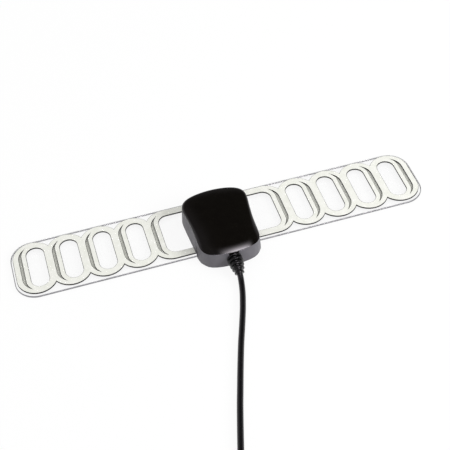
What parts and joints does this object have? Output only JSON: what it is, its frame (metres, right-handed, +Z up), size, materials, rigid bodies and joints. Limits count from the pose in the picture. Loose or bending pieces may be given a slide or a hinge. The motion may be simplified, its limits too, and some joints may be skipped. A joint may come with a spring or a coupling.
{
  "type": "car television antenna",
  "caption": "Stick-on television antenna for a car window: loop-chain elements on a clear strip, an amplifier housing and a coiled coaxial lead with a plug.",
  "frame": {"origin": "on the stuck face of the adhesive pad, at the middle of the strip's length and width", "axes": "+X along the strip, +Y away from the cable outlet, +Z up from the glass through the cover"},
  "size_m": [0.3, 0.3093, 0.0186],
  "materials": {
    "adhesive_foam": "closed-cell foam tape, matt",
    "clear_plastic": "clear, polished",
    "element_metal": "satin, pale silver",
    "base_plastic": "smooth moulded, dark grey",
    "cover_plastic": "high gloss black",
    "steel": "zinc plated",
    "board_laminate": "green solder mask",
    "tinplate": "tin plated",
    "chip_plastic": "matt moulded",
    "ferrite": "sintered, matt",
    "copper": "enamelled copper",
    "capacitor_metal": "bright can",
    "contact_metal": "spring bronze",
    "relief_rubber": "semi-gloss moulded",
    "cable_sheath": "glossy extruded sheath",
    "white_plastic": "matt moulded",
    "tie_plastic": "flexible tie, matt",
    "grip_plastic": "moulded, fine satin",
    "plug_metal": "nickel plated",
    "pin_metal": "plated brass"
  },
  "bodies": {
    "root": {"adhesive_pad": "adhesive_foam", "carrier_strip": "clear_plastic", "left_element": "element_metal", "right_element": "element_metal", "housing_base": "base_plastic", "housing_cover": "cover_plastic", "case_screws": "steel", "circuit_board": "board_laminate", "board_screws": "steel", "shield_can": "tinplate", "amplifier_chip": "chip_plastic", "balun_core": "ferrite", "balun_winding": "copper", "supply_choke": "ferrite", "filter_capacitors": "capacitor_metal", "chip_resistors": "chip_plastic", "left_contact": "contact_metal", "right_contact": "contact_metal", "cable_clamp": "base_plastic", "clamp_screws": "steel", "strain_relief": "relief_rubber", "cable_jacket": "cable_sheath", "cable_braid": "tinplate", "cable_dielectric": "white_plastic", "cable_centre_wire": "copper", "cable_stretch": "cable_sheath", "cable_coil": "cable_sheath", "cable_tie": "tie_plastic", "cable_lead": "cable_sheath", "plug_grip": "grip_plastic", "plug_shell": "plug_metal", "plug_insulator": "white_plastic", "plug_pin": "pin_metal"}
  },
  "joints": []
}
